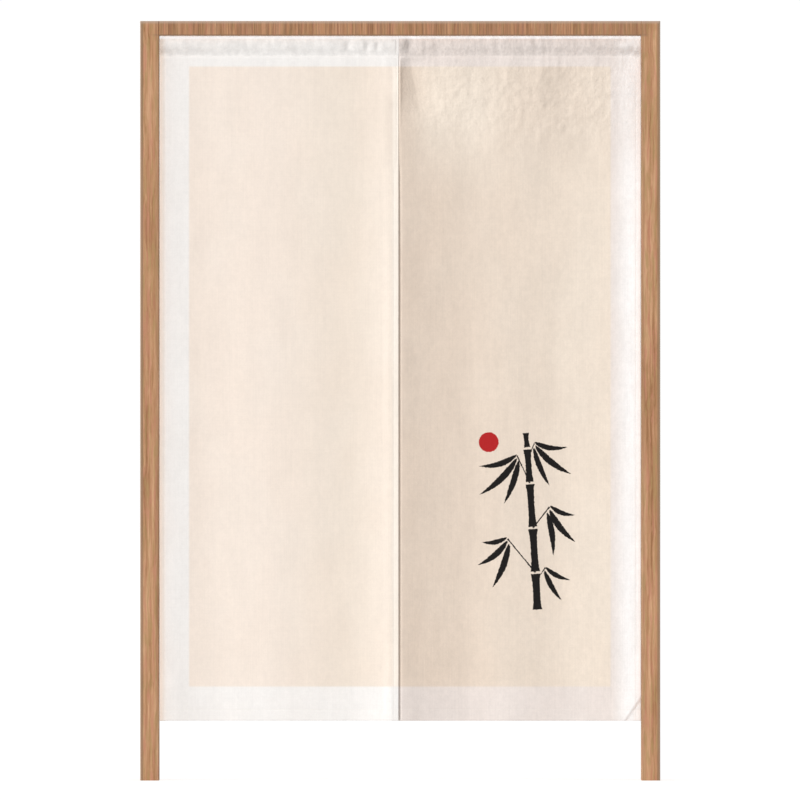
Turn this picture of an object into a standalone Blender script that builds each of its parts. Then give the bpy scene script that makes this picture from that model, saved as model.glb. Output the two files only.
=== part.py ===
"""Door curtain of two cloth panels, sewn together at the top and slit below, in its wooden door frame.

Metres, +Z up. The frame stands on the ground at Z = 0, centred on the origin, and the curtain's
printed side faces -Y. "Drop" is a distance below the top edge of the curtain, "across" is a
distance to the right of the slit, and "forward" is a distance towards -Y.
"""

import math
from collections import namedtuple

import bmesh
import bpy
from mathutils import Vector

# Door frame: two posts with the lintel fitted between them
OPENING_WIDTH = 0.850
POST_WIDTH = 0.033
LINTEL_HEIGHT = 0.0255
FRAME_DEPTH = 0.120
ARRIS = 0.0015
ARRIS_SEGMENTS = 2
SEAT_GAP = 0.0003

# Curtain: overall sizes and its place in the frame
CURTAIN_DROP = 1.207
HEM_ABOVE_GROUND = 0.105
SIDE_CLEARANCE = 0.002
CURTAIN_SETBACK = 0.024
SLIT_X = -0.003
SLIT_START = 0.216

# Cloth: one layer, and the layers that a hem folds onto the back
CLOTH_THICKNESS = 0.0014
HEM_FOLD = 0.0010
SIDE_HEM = 0.010
BOTTOM_HEM = 0.022
HEM_STEP = 0.0015

# Lap of the left panel over the right one, which is sewn above the slit and free below it
LAP_WIDTH = 0.004
LAP_SHIFT = (CLOTH_THICKNESS + HEM_FOLD + SEAT_GAP) / 2
LAP_FADE = 0.020
PARTING_LEFT = 0.0022
PARTING_RIGHT = 0.0010
PARTING_RUN = 0.180

# Rod channel: a drop-shaped tube, open at both ends
CHANNEL_DROP = 0.0354
CHANNEL_HALF_DEPTH = 0.0098
CHANNEL_WALL = 0.0014
CHANNEL_SEAM = 0.0040
CHANNEL_INNER_HALF_DEPTH = 0.0081
CHANNEL_TIP_HALF_WIDTH = 0.0004
SEAM_HALF_THICKNESS = 0.0013
CHANNEL_SIDE_POINTS = 8
CHANNEL_STATIONS = 26

# Turned crease at the lower right corner of the curtain
CORNER_REACH = 0.030
CORNER_SLANT = 0.7
CORNER_TURN = 0.0045

# Wavering of the panels' outer edges: its size, and the share and pace of each of its two waves
OUTLINE_WAVER = 0.0007
Wave = namedtuple("Wave", "share pace")
WAVER_WAVES = (Wave(0.6, 5.2), Wave(0.4, 13.1))

# Drops at which the folds below state how far the cloth stands forward
LEVEL_DROPS = (CHANNEL_DROP, 0.110, SLIT_START, 0.620, CURTAIN_DROP)

Fold = namedtuple("Fold", "across half_width lean heading seam slit middle hem")
FOLDS = (
    Fold(-0.392, 0.030, 0.004, 0.0002, 0.0005, 0.0008, 0.0013, 0.0020),
    Fold(-0.318, 0.040, -0.006, -0.0002, -0.0005, -0.0008, -0.0013, -0.0017),
    Fold(-0.220, 0.052, 0.008, 0.0002, 0.0004, 0.0008, 0.0014, 0.0020),
    Fold(-0.074, 0.040, -0.004, -0.0003, -0.0009, -0.0014, -0.0018, -0.0020),
    Fold(-0.004, 0.026, 0.0, 0.0004, 0.0012, 0.0020, 0.0026, 0.0030),
    Fold(0.006, 0.040, 0.0, 0.0002, 0.0008, 0.0016, 0.0024, 0.0028),
    Fold(0.013, 0.009, 0.003, -0.0010, -0.0030, -0.0009, 0.0, 0.0),
    Fold(0.118, 0.046, 0.004, -0.0003, -0.0010, -0.0018, -0.0026, -0.0030),
    Fold(0.196, 0.034, -0.008, 0.0002, 0.0005, 0.0006, 0.0009, 0.0013),
    Fold(0.278, 0.040, 0.006, -0.0002, -0.0006, -0.0012, -0.0019, -0.0024),
    Fold(0.412, 0.062, -0.004, 0.0004, 0.0013, 0.0024, 0.0034, 0.0042),
)

# Dents in the front of the rod channel
Dent = namedtuple("Dent", "x half_width depth")
DENTS = (
    Dent(-0.258, 0.022, 0.0006),
    Dent(-0.092, 0.010, 0.0011),
    Dent(-0.048, 0.014, 0.0008),
    Dent(0.015, 0.009, 0.0016),
    Dent(0.064, 0.011, 0.0008),
    Dent(0.143, 0.015, 0.0010),
    Dent(0.262, 0.020, 0.0008),
    Dent(0.402, 0.010, 0.0011),
)

# Stretches of a panel's grid, from its outer edge to its slit edge, and from its top to its hem
Stretch = namedtuple("Stretch", "length count")
OUTER_COLUMNS = (Stretch(SIDE_HEM, 1), Stretch(HEM_STEP, 1), Stretch(0.018, 1))
BODY_COLUMNS = 13
SLIT_COLUMNS = (Stretch(0.034, 4), Stretch(HEM_STEP, 1), Stretch(SIDE_HEM, 1))
TOP_ROWS = (Stretch(SLIT_START - CHANNEL_DROP, 7),)
BODY_ROWS = 17
HEM_ROWS = (Stretch(0.020, 2), Stretch(HEM_STEP, 1), Stretch(BOTTOM_HEM, 2))

OPENING_HEIGHT = HEM_ABOVE_GROUND + CURTAIN_DROP + SEAT_GAP
FRAME_HEIGHT = OPENING_HEIGHT + LINTEL_HEIGHT
CURTAIN_TOP = HEM_ABOVE_GROUND + CURTAIN_DROP
CURTAIN_Y = -FRAME_DEPTH / 2 + CURTAIN_SETBACK
CURTAIN_HALF_WIDTH = OPENING_WIDTH / 2 - SIDE_CLEARANCE

WOOD_COLOUR = (190, 145, 107)
LEFT_CLOTH_COLOUR = (246, 233, 221)
RIGHT_CLOTH_COLOUR = (234, 220, 205)
HEADING_COLOUR = (238, 231, 225)
WOOD_ROUGHNESS = 0.55
CLOTH_ROUGHNESS = 0.9
CREASE_ANGLE = math.radians(40)


def linear(level):
    """Linear value of one 0 to 255 display colour level."""
    value = level / 255
    return value / 12.92 if value <= 0.04045 else ((value + 0.055) / 1.055) ** 2.4


def plain_material(name, colour, roughness):
    material = bpy.data.materials.new(name)
    material.use_nodes = True
    shader = material.node_tree.nodes["Principled BSDF"]
    shader.inputs["Base Color"].default_value = (*(linear(level) for level in colour), 1.0)
    shader.inputs["Roughness"].default_value = roughness
    shader.inputs["Metallic"].default_value = 0.0
    return material


def add_object(name, mesh_edit, material):
    """Turn a bmesh into the named object, with its faces pointing out."""
    bmesh.ops.recalc_face_normals(mesh_edit, faces=mesh_edit.faces)
    mesh = bpy.data.meshes.new(name)
    mesh_edit.to_mesh(mesh)
    mesh_edit.free()
    mesh.materials.append(material)
    mesh.shade_smooth()
    mesh.set_sharp_from_angle(angle=CREASE_ANGLE)
    piece = bpy.data.objects.new(name, mesh)
    bpy.context.collection.objects.link(piece)
    return piece


def eased(share):
    """Soft step: 0 up to share 0, 1 from share 1."""
    share = min(max(share, 0.0), 1.0)
    return share * share * (3 - 2 * share)


def soft_bump(distance, half_width):
    return math.exp(-((distance / half_width) ** 2))


def between_levels(fold, drop):
    """How far a fold stands forward at a drop, eased between the stated levels."""
    heights = (fold.heading, fold.seam, fold.slit, fold.middle, fold.hem)
    forward = heights[0]
    for upper, lower, start, end in zip(heights, heights[1:], LEVEL_DROPS, LEVEL_DROPS[1:]):
        forward += (lower - upper) * eased((drop - start) / (end - start))
    return forward


def beyond_lap(across):
    """Distance past the strip beside the slit, where both panels lie parallel."""
    if across < -SIDE_HEM:
        return across + SIDE_HEM
    return max(across - LAP_WIDTH, 0.0)


def forward_of_plane(across, drop):
    """How far the hung cloth stands in front of its plane."""
    place = beyond_lap(across)
    lean_share = drop / CURTAIN_DROP
    return sum(
        between_levels(fold, drop) * soft_bump(place - fold.across - fold.lean * lean_share, fold.half_width)
        for fold in FOLDS
    )


def outline_waver(drop, phase):
    """Small inward waver of a panel's outer edge."""
    waves = sum(wave.share * math.sin(wave.pace * (drop + phase)) for wave in WAVER_WAVES)
    return OUTLINE_WAVER * (1 + waves)


def stations(start, stretches):
    """Places along a line, from a start and a row of stretches."""
    places = [start]
    for stretch in stretches:
        origin = places[-1]
        places += [origin + stretch.length * step / stretch.count for step in range(1, stretch.count + 1)]
    return places


def panel_rows():
    fixed = sum(stretch.length for stretch in TOP_ROWS + HEM_ROWS)
    body = Stretch(CURTAIN_DROP - CHANNEL_DROP - SEAT_GAP - fixed, BODY_ROWS)
    return stations(CHANNEL_DROP + SEAT_GAP, TOP_ROWS + (body,) + HEM_ROWS)


def panel_columns(width):
    """Distances from the outer edge of a panel of the given width."""
    fixed = sum(stretch.length for stretch in OUTER_COLUMNS + SLIT_COLUMNS)
    body = Stretch(width - fixed, BODY_COLUMNS)
    return stations(0.0, OUTER_COLUMNS + (body,) + SLIT_COLUMNS)


def hem_thickness(from_outer, width, drop):
    """Extra thickness of the folded hems, all on the back of the cloth."""
    side = min(from_outer, width - from_outer)
    in_side_hem = 1 - eased((side - SIDE_HEM) / HEM_STEP)
    in_bottom_hem = eased((drop - CURTAIN_DROP + BOTTOM_HEM + HEM_STEP) / HEM_STEP)
    return HEM_FOLD * max(in_side_hem, in_bottom_hem)


def corner_turn(x, drop):
    """How far the lower right corner turns back, past a slanting crease."""
    to_side = CURTAIN_HALF_WIDTH - x
    to_hem = CURTAIN_DROP - drop
    past_crease = CORNER_REACH - to_side - CORNER_SLANT * to_hem
    return CORNER_TURN * eased(past_crease / CORNER_REACH)


def panel(name, material, side):
    """One hung cloth panel: side is -1 for the left one, which laps in front, and 1 for the right one."""
    outer_x = side * CURTAIN_HALF_WIDTH
    slit_x = SLIT_X if side < 0 else SLIT_X - LAP_WIDTH
    width = abs(slit_x - outer_x)
    parting = -PARTING_LEFT if side < 0 else PARTING_RIGHT
    drops = panel_rows()
    columns = panel_columns(width)

    mesh_edit = bmesh.new()
    front, back = [], []
    for drop in drops:
        opened = eased((drop - SLIT_START) / PARTING_RUN)
        front_row, back_row = [], []
        for from_outer in columns:
            inset = outline_waver(drop, side) * (1 - from_outer / width)
            x = outer_x - side * (from_outer + inset)
            across = x - SLIT_X
            near_lap = 1 - eased(abs(beyond_lap(across)) / LAP_FADE)
            y = CURTAIN_Y - forward_of_plane(across, drop)
            y += near_lap * (side * LAP_SHIFT + parting * opened)
            if side > 0:
                y += corner_turn(x, drop)
            z = CURTAIN_TOP - drop
            thick = hem_thickness(from_outer, width, drop)
            front_row.append(mesh_edit.verts.new((x, y - CLOTH_THICKNESS / 2, z)))
            back_row.append(mesh_edit.verts.new((x, y + CLOTH_THICKNESS / 2 + thick, z)))
        front.append(front_row)
        back.append(back_row)
    for skin in (front, back):
        for row, next_row in zip(skin, skin[1:]):
            for left, right, low_right, low_left in zip(row, row[1:], next_row[1:], next_row):
                mesh_edit.faces.new((left, right, low_right, low_left))
    rims = (
        (front[0], back[0]),
        (front[-1], back[-1]),
        ([row[0] for row in front], [row[0] for row in back]),
        ([row[-1] for row in front], [row[-1] for row in back]),
    )
    for front_edge, back_edge in rims:
        for first, second, behind_second, behind_first in zip(
            front_edge, front_edge[1:], back_edge[1:], back_edge
        ):
            mesh_edit.faces.new((first, second, behind_second, behind_first))
    return add_object(name, mesh_edit, material)


def channel_side(x, facing, top, height, half_depth, least):
    """Front (-1) or back (1) half of the channel's drop-shaped section, from its top to its seam."""
    dent = sum(item.depth * soft_bump(x - item.x, item.half_width) for item in DENTS)
    centre_y = CURTAIN_Y - forward_of_plane(x - SLIT_X, CHANNEL_DROP)
    side = []
    for step in range(CHANNEL_SIDE_POINTS + 1):
        turn = math.pi * step / CHANNEL_SIDE_POINTS
        out = half_depth * math.sin(turn) * math.cos(turn / 2)
        if turn > math.pi / 2:
            out = max(out, least)
        dented = dent * math.sin(turn) ** 2 if facing < 0 else 0.0
        drop = top + height * (1 - math.cos(turn)) / 2
        side.append((x, centre_y + facing * out + dented, CURTAIN_TOP - drop))
    return side


def channel_loop(mesh_edit, x, top, height, half_depth, least):
    """Points around the channel's section at one place along it."""
    front = channel_side(x, -1, top, height, half_depth, least)
    back = channel_side(x, 1, top, height, half_depth, least)
    return [mesh_edit.verts.new(point) for point in front + back[:0:-1]]


def join_rings(mesh_edit, first, second):
    """Faces between two closed rings with the same number of points."""
    for index, point in enumerate(first):
        follow = (index + 1) % len(first)
        mesh_edit.faces.new((point, first[follow], second[follow], second[index]))


def heading(name, material, start_x, end_x):
    """Rod channel of one panel, from one x to another."""
    inner_height = CHANNEL_DROP - CHANNEL_WALL - CHANNEL_SEAM
    mesh_edit = bmesh.new()
    sections = []
    for station in range(CHANNEL_STATIONS + 1):
        x = start_x + (end_x - start_x) * station / CHANNEL_STATIONS
        outer = channel_loop(mesh_edit, x, 0.0, CHANNEL_DROP, CHANNEL_HALF_DEPTH, SEAM_HALF_THICKNESS)
        inner = channel_loop(
            mesh_edit, x, CHANNEL_WALL, inner_height, CHANNEL_INNER_HALF_DEPTH, CHANNEL_TIP_HALF_WIDTH
        )
        sections.append((outer, inner))
    for section, next_section in zip(sections, sections[1:]):
        for ring, next_ring in zip(section, next_section):
            join_rings(mesh_edit, ring, next_ring)
    for outer, inner in (sections[0], sections[-1]):
        join_rings(mesh_edit, outer, inner)
    return add_object(name, mesh_edit, material)


def board(name, material, low, high, long_axis):
    """Wooden board from its lowest to its highest corner, its long edges eased."""
    mesh_edit = bmesh.new()
    bmesh.ops.create_cube(mesh_edit, size=1.0)
    middle = (Vector(low) + Vector(high)) / 2
    size = Vector(high) - Vector(low)
    for vertex in mesh_edit.verts:
        vertex.co = middle + vertex.co * size
    long_edges = [
        edge
        for edge in mesh_edit.edges
        if abs((edge.verts[0].co - edge.verts[1].co)[long_axis]) > ARRIS
    ]
    bmesh.ops.bevel(
        mesh_edit, geom=long_edges, offset=ARRIS, segments=ARRIS_SEGMENTS, profile=0.5, affect="EDGES"
    )
    return add_object(name, mesh_edit, material)


def door_frame(material):
    half_opening = OPENING_WIDTH / 2
    front, back = -FRAME_DEPTH / 2, FRAME_DEPTH / 2
    for name, side in (("post_left", -1), ("post_right", 1)):
        sides = sorted((side * half_opening, side * (half_opening + POST_WIDTH)))
        board(name, material, (sides[0], front, 0.0), (sides[1], back, FRAME_HEIGHT), long_axis=2)
    inset = half_opening - SEAT_GAP
    board("lintel", material, (-inset, front, OPENING_HEIGHT), (inset, back, FRAME_HEIGHT), long_axis=0)


def curtain():
    left = plain_material("cloth_left", LEFT_CLOTH_COLOUR, CLOTH_ROUGHNESS)
    right = plain_material("cloth_right", RIGHT_CLOTH_COLOUR, CLOTH_ROUGHNESS)
    heading_cloth = plain_material("cloth_heading", HEADING_COLOUR, CLOTH_ROUGHNESS)
    panel("panel_left", left, side=-1)
    panel("panel_right", right, side=1)
    heading("heading_left", heading_cloth, -CURTAIN_HALF_WIDTH, SLIT_X - SEAT_GAP / 2)
    heading("heading_right", heading_cloth, SLIT_X + SEAT_GAP / 2, CURTAIN_HALF_WIDTH)


def main():
    for old in list(bpy.data.objects):
        bpy.data.objects.remove(old, do_unlink=True)
    door_frame(plain_material("wood", WOOD_COLOUR, WOOD_ROUGHNESS))
    curtain()


main()
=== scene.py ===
"""Looks of the door curtain and its wooden door frame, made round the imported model.

Metres, +Z up, the printed side faces -Y. "Drop" is a distance below the top edge of the curtain,
"across" is a distance to the right of the slit, and "forward" is a distance towards -Y.
"""

import math
from collections import namedtuple

import bpy
import numpy as np
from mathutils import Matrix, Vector


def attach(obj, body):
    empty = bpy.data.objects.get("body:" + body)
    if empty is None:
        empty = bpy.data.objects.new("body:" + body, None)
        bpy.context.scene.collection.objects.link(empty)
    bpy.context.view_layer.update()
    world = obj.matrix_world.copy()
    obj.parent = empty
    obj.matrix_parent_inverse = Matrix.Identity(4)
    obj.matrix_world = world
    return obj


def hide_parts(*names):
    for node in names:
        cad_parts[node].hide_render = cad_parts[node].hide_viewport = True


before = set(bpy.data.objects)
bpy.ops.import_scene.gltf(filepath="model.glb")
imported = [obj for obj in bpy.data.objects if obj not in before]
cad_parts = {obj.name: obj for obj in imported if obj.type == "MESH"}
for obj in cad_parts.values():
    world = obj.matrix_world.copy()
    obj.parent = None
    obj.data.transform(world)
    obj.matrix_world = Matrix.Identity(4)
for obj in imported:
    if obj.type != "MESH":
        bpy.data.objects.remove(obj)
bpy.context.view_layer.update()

# Sides of the slit
LEFT = -1
RIGHT = 1

# Sizes of the frame and the curtain, as in the solids
POST_INNER_X = 0.425
POST_OUTER_X = 0.458
OPENING_HEIGHT = 1.3123
FRAME_HEIGHT = 1.3378
CURTAIN_DROP = 1.207
HEM_ABOVE_GROUND = 0.105
CURTAIN_TOP = HEM_ABOVE_GROUND + CURTAIN_DROP
CURTAIN_Y = -0.036
OUTER_EDGE = {LEFT: 0.4243, RIGHT: 0.4242}
SLIT_X = -0.003
SLIT_START = 0.216
LAP_WIDTH = 0.004
SLIT_EDGE = {LEFT: SLIT_X, RIGHT: SLIT_X - LAP_WIDTH}
SEAT_GAP = 0.0003
SOLID_CLOTH = 0.0014
CHANNEL_DROP = 0.0354
CHANNEL_HALF_DEPTH = 0.0098
SIDE_HEM = 0.010
BOTTOM_HEM = 0.022

# Cloth: its thickness, and the distance between the middles of two layers that lie on each other
CLOTH = 0.00040
LAYER = 0.00048

# Lap at the slit: how far behind the common plane each panel lies, sewn and free
SEWN = {LEFT: -0.00035, RIGHT: 0.00070}
FREE = {LEFT: -0.0010, RIGHT: 0.0012}
FREE_RUN = 0.030
PARTING_LEFT = 0.0009
PARTING_RUN = 0.180
LAP_FADE = 0.020
LAP_RISE_START = 0.001
LAP_RISE = 0.0055
NOTCH_RUN = 0.008
SLIT_PULL_REACH = 0.030

# Turned crease at the lower right corner
CORNER_REACH = 0.030
CORNER_SLANT = 0.7
CORNER_TURN = 0.0012
CORNER_STEP = 0.0014
CORNER_STEP_WIDTH = 0.0045

# Wavering of the outer edges
WAVER = 0.0003
Wave = namedtuple("Wave", "share pace")
WAVER_WAVES = (Wave(0.6, 5.2), Wave(0.4, 13.1))

# Hanging folds: how far each stands forward at five drops
LEVEL_DROPS = (CHANNEL_DROP, 0.110, SLIT_START, 0.620, CURTAIN_DROP)
Fold = namedtuple("Fold", "across half_width lean heading seam slit middle hem")
FOLDS = [Fold(*row) for row in (
    (-0.392, 0.03, 0.004, 0.0002, 0.0005, 0.0008, 0.0013, 0.002),
    (-0.318, 0.04, -0.006, -0.0002, -0.0005, -0.0008, -0.0013, -0.0017),
    (-0.22, 0.052, 0.008, 0.0002, 0.0004, 0.0008, 0.0014, 0.002),
    (-0.074, 0.04, -0.004, -0.0003, -0.0009, -0.0014, -0.0018, -0.002),
    (-0.004, 0.026, 0, 0.0004, 0.0012, 0.002, 0.0026, 0.003),
    (0.006, 0.04, 0, 0.0002, 0.0008, 0.0016, 0.0024, 0.0028),
    (0.118, 0.046, 0.004, -0.0003, -0.001, -0.0018, -0.0026, -0.003),
    (0.196, 0.034, -0.008, 0.0002, 0.0005, 0.0006, 0.0009, 0.0013),
    (0.278, 0.04, 0.006, -0.0002, -0.0006, -0.0012, -0.0019, -0.0024),
    (0.412, 0.062, -0.004, 0.0004, 0.0013, 0.0024, 0.0034, 0.0042),
)]

# Wide dents in the front of the rod channel
Dent = namedtuple("Dent", "x half_width depth")
DENTS = [Dent(*row) for row in (
    (-0.258, 0.022, 0.0006),
    (-0.092, 0.01, 0.0011),
    (-0.048, 0.014, 0.0008),
    (0.016, 0.011, 0.0026),
    (0.064, 0.011, 0.0008),
    (0.143, 0.015, 0.001),
    (0.262, 0.02, 0.0008),
    (0.402, 0.01, 0.0011),
)]

# Upright wrinkles that run down from the channel, and those along the seam
Wrinkle = namedtuple("Wrinkle", "x half_width lean height top end")
WRINKLES = [Wrinkle(*row) for row in (
    (-0.385, 0.012, 0, -0.0003, 0.03, 0.13),
    (-0.3, 0.016, 0.02, 0.0003, 0.03, 0.15),
    (-0.098, 0.014, 0.03, 0.0003, 0.03, 0.12),
    (-0.052, 0.01, 0, -0.0004, 0.028, 0.09),
    (-0.026, 0.008, 0, 0.0005, 0.028, 0.3),
    (-0.0002, 0.0021, 0, 0.0009, 0.036, 0.23),
    (0.052, 0.01, 0.06, -0.0004, 0.028, 0.14),
    (0.098, 0.016, 0.04, 0.0008, 0.028, 0.22),
    (0.15, 0.014, 0.05, -0.0005, 0.028, 0.19),
    (0.196, 0.012, -0.04, 0.0005, 0.028, 0.13),
    (0.232, 0.01, -0.06, -0.0004, 0.028, 0.12),
    (0.262, 0.015, -0.18, 0.0008, 0.028, 0.17),
    (0.3, 0.012, -0.1, -0.0005, 0.028, 0.15),
    (0.338, 0.01, 0, 0.0004, 0.028, 0.16),
    (0.385, 0.012, 0.02, -0.0005, 0.028, 0.2),
)]

# How far below its top a wrinkle reaches its full height
WRINKLE_RISE = 0.012

# Small dimples (depth above 0) and puffs (below 0) in the channel
Dimple = namedtuple("Dimple", "x drop half_width half_drop depth")
DIMPLES = [Dimple(*row) for row in (
    (-0.4167, 0.0116, 0.0035, 0.004, 0.0009),
    (-0.4167, 0.031, 0.0035, 0.004, 0.0009),
    (-0.0925, 0.0187, 0.0045, 0.007, 0.0013),
    (-0.0575, 0.02, 0.0048, 0.0075, 0.0018),
    (-0.04, 0.0187, 0.0042, 0.0075, 0.0018),
    (-0.0066, 0.018, 0.0013, 0.017, 0.0009),
    (0.015, 0.018, 0.007, 0.014, 0.0022),
    (0.399, 0.019, 0.01, 0.01, -0.0026),
    (0.407, 0.032, 0.0036, 0.004, 0.0016),
    (0.4175, 0.033, 0.0038, 0.0042, 0.0018),
)]

# Fine unevenness of the cloth: height, and waves to a metre across and down
Unevenness = namedtuple("Unevenness", "height across down seed")
EVERYWHERE = (Unevenness(0.00035, 11, 5, 11), Unevenness(0.00012, 45, 16, 12))
RIGHT_CRINKLES = (Unevenness(0.00050, 85, 80, 13), Unevenness(0.00046, 155, 140, 14))
GATHERS = (Unevenness(0.00055, 105, 22, 15), Unevenness(0.00035, 180, 40, 16))
NOISE_LATTICE = 97

# Where the gathers end, and their share below the channel and on it
GATHERS_DROP = (0.050, 0.100)
GATHERS_BELOW = {LEFT: 0.3, RIGHT: 0.7}
GATHERS_ON_CHANNEL = {LEFT: 0.6, RIGHT: 1.3}

# Where the right panel's crinkles rise and fade, by drop and by x
CRINKLES_DROP = ((0.040, 0.070), (0.130, 0.250))
CRINKLES_X = ((0.020, 0.080), (0.350, 0.400))

# Tucked triangle beside the seam on the right panel, between the seam and a slanting ridge
TUCK_FROM = 0.0008
TUCK_STEEPNESS = 0.72
TUCK_TOP = 0.030
TUCK_END = 0.160
TUCK_RIDGE_TOP = 0.0150
TUCK_RIDGE_END = 0.0380
TUCK_DEPTH = 0.0056
TUCK_TOP_SHARE = 0.9
TUCK_GROWTH = 0.6
TUCK_RISE = 0.048
TUCK_SHOWN = ((0.0, 0.16), (0.50, 1.0))

# Stitching
STITCH_PITCH = 0.0034
STITCH_LENGTH = 0.0027
THREAD_HALF_WIDTH = 0.00022
THREAD_HEIGHT = 0.00022
THREAD_SUNK = 0.00008
THREAD_END = 0.00003
THREAD_STATIONS = ((0.0, -THREAD_END), (0.22, THREAD_HEIGHT), (0.78, THREAD_HEIGHT), (1.0, -THREAD_END))
SIDE_STITCH = 0.008
BOTTOM_STITCH = 0.020
SEAM_STITCH = 0.0032
STITCH_MARGIN = 0.001
BELOW_CHANNEL = 0.003
BELOW_SLIT_START = 0.004
GROOVE_HALF_WIDTH = 0.0011
GROOVE_DEPTH = 0.00022
SEAM_GROOVE_SHARE = 1.1
CHANNEL_GROOVE_HALF_WIDTH = 1.4 * GROOVE_HALF_WIDTH
CHANNEL_GROOVE_DEPTH = 0.0006

# Mesh of the cloth: its steps round the folds and the channel, and the channel's hem
FOLD_STEPS = 6
FOLD_RADIUS = LAYER / 2
FLAP_SHARES = (1.0, 0.66, 0.33)
CHANNEL_STEPS = 20
CHANNEL_TAIL = 0.0020
HEM_EASE = 0.003
SHARP_ANGLE = 50

# Columns: a distance to an edge of the panel, and the step that follows it
OUTER_COLUMN_STEPS = ((FOLD_RADIUS, 0.0016), (0.0064, 0.0008))
COLUMN_STEPS = {
    LEFT: ((0.0096, 0.0024), (0.017, 0.003), (0.32, 0.0015), (0.402, 0.0022)),
    RIGHT: ((0.0096, 0.0017), (0.045, 0.003), (0.376, 0.0018)),
}
SLIT_COLUMN_STEPS = ((0.0128, 0.0008), (0.0016, 0.0010), (FOLD_RADIUS, 0))

# Rows: a drop and the step that follows it, and how far the rows of the bottom hem rise
ROW_STEPS = (
    (CHANNEL_DROP + 0.0010, 0.0014),
    (0.044, 0.0023),
    (0.16, 0.004),
    (SLIT_START - 0.0100, 0.0025),
    (SLIT_START + 0.0200, 0.0115),
    (CURTAIN_DROP - 0.0450, 0.0030),
    (CURTAIN_DROP - 0.0225, 0.00125),
    (CURTAIN_DROP - 0.0175, 0.0030),
    (CURTAIN_DROP - 0.0030, 0.0010),
    (CURTAIN_DROP - 0.0018, 0),
)
HEM_ROW_RISES = (0.0040, 0.0080, 0.0120, 0.0160, 0.0188, 0.0200, 0.0220)

# Curtain's printed field
FIELD_LEFT = -0.3721
FIELD_RIGHT = 0.3709
FIELD_BOTTOM = HEM_ABOVE_GROUND + 0.0604
FIELD_TOP = CURTAIN_TOP - 0.0540
FIELD_EDGE = 0.0024

# How bright the studio makes a white surface that faces the camera
STUDIO_LIGHT = 1.15

# Noises of the materials: waves to a metre across and upright, detail, roughness and start
Noise = namedtuple("Noise", "across upright detail roughness start")
NOISE_MIDDLE = (0.35, 0.65)

# Tones of the cloth as they show from the front. The right panel's are darker than the left's by painted
# shade, where it turns away from the key light, except for the white at its outer edge
WHITE_LEFT = (244, 241, 238)
WHITE_LEFT_EDGE = (246, 230, 214)
# Off-white of the right panel darkened by painted shade, and the white of its outer edge where the painted
# shade ends
WHITE_RIGHT = (233, 223, 217)
WHITE_RIGHT_EDGE = (255, 255, 255)
# Painted highlight along the top rim of the rod channel, brighter than white
RIM_HIGHLIGHT = (257, 262, 266)
BACK_WHITE = (240, 233, 224)
CREAM_LEFT = (243, 230, 218)
CREAM_LEFT_DULL = (239, 226, 212)
# Lighter cream beside the seam: a painted highlight where the left panel turns towards the key light
CREAM_SEAM_HIGHLIGHT = (251, 241, 229)
# Cream of the right panel with painted shade: deep beside the slit, pale further out
CREAM_RIGHT_DEEP = (224, 207, 191)
CREAM_RIGHT_PALE = (238, 225, 210)

# Where the cream of the fields shades off: by x, and by drop for the top of the right one. On the right
# panel this is painted shade that deepens towards the slit
DULL_LEFT_X = -0.090
DULL_LEFT_REACH = 0.160
# Strip of the painted highlight beside the seam
SEAM_HIGHLIGHT_X = (-0.0165, -0.0100)
PALER_X = (-0.060, 0.460)
PALER_TOP_X = (-0.012, 0.076)
DULL_TOP_X = 0.267
DULL_TOP_REACH = 0.167
DULL_TOP_SHARE = 0.62
TOP_SHADE_DROP = (0.120, 0.300)

# Border: its creamy or white outer edges, and the painted shade and highlight on the rod channel and above
# its seam, by drop and by x
CREAMY_WIDTH = 0.014
CREAMY_SHARE = 0.7
# Where the painted shade of the right border gives way to white at its outer edge, and how much of that
# white stays at the top
WHITER_X = (0.366, 0.414)
WHITER_TOP_SHARE = 0.55
CHANNEL_EDGE = 0.0010
# Painted shade of crumples on the rod channel: a noise, and the darkest and lightest shares it gives
CHANNEL_CRUMPLE_SHADE = {LEFT: Noise(105, 75, 2.0, 0.60, 27.0), RIGHT: Noise(210, 75, 2.0, 0.60, 27.0)}
CHANNEL_DARKEST = {LEFT: 0.950, RIGHT: 0.930}
CHANNEL_LIGHTEST = 1.04
# Painted shading of the rod channel by drop: darker on its upper half and lighter on its lower half, more
# shaded on the right
CHANNEL_SHADE_DROP = (0.0260, 0.0140)
CHANNEL_SHADES = {LEFT: (1.06, 0.995), RIGHT: (1.02, 0.965)}
# Where the channel's painted shade fades out, over the puff at its right end
PUFF_X = (0.382, 0.398)
# Drops between which the painted highlight of the channel's top rim fades out
RIM_HIGHLIGHT_DROP = (0.0030, 0.0068)
SEAM_SHADE_DROP = (0.0305, 0.0378)
SEAM_SHADE_EASE = 0.0020
SEAM_SHADE = {LEFT: 0.980, RIGHT: 0.965}

# Soft uneven patches of the field and of the white round it: share of the brightness at their middle
Patch = namedtuple("Patch", "x drop half_width half_drop share")
FIELD_PATCHES_LEFT = (Patch(-0.015, 0.066, 0.013, 0.038, 1.035),)
FIELD_PATCHES_RIGHT = [Patch(*row) for row in (
    (0.268, 0.09, 0.022, 0.038, 0.955),
    (0.3, 0.19, 0.03, 0.045, 0.975),
    (0.136, 0.13, 0.034, 0.06, 1.02),
    (0.044, 0.08, 0.02, 0.045, 0.985),
)]
# Right border: painted shade beside the slit above the hem, painted shadows in the channel beside the seam
# and in a dimple at its right end, and a lighter patch on the channel
BORDER_SHADE_PATCHES_RIGHT = [Patch(*row) for row in (
    (0.01, CURTAIN_DROP - 0.03, 0.09, 0.045, 0.955),
    (0.014, 0.02, 0.009, 0.013, 0.9),
    (0.08, 0.018, 0.042, 0.016, 1.04),
    (0.4165, 0.033, 0.005, 0.005, 0.88),
)]
PATCH_REACH = 2.5

# Back of the cloth: where the front ends, and what shows through
FRONT_FACING = (-0.2, 0.2)
FIELD_BEHIND = 0.55
BACK_SHARE = 0.5
INK_BEHIND = 0.16

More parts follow.
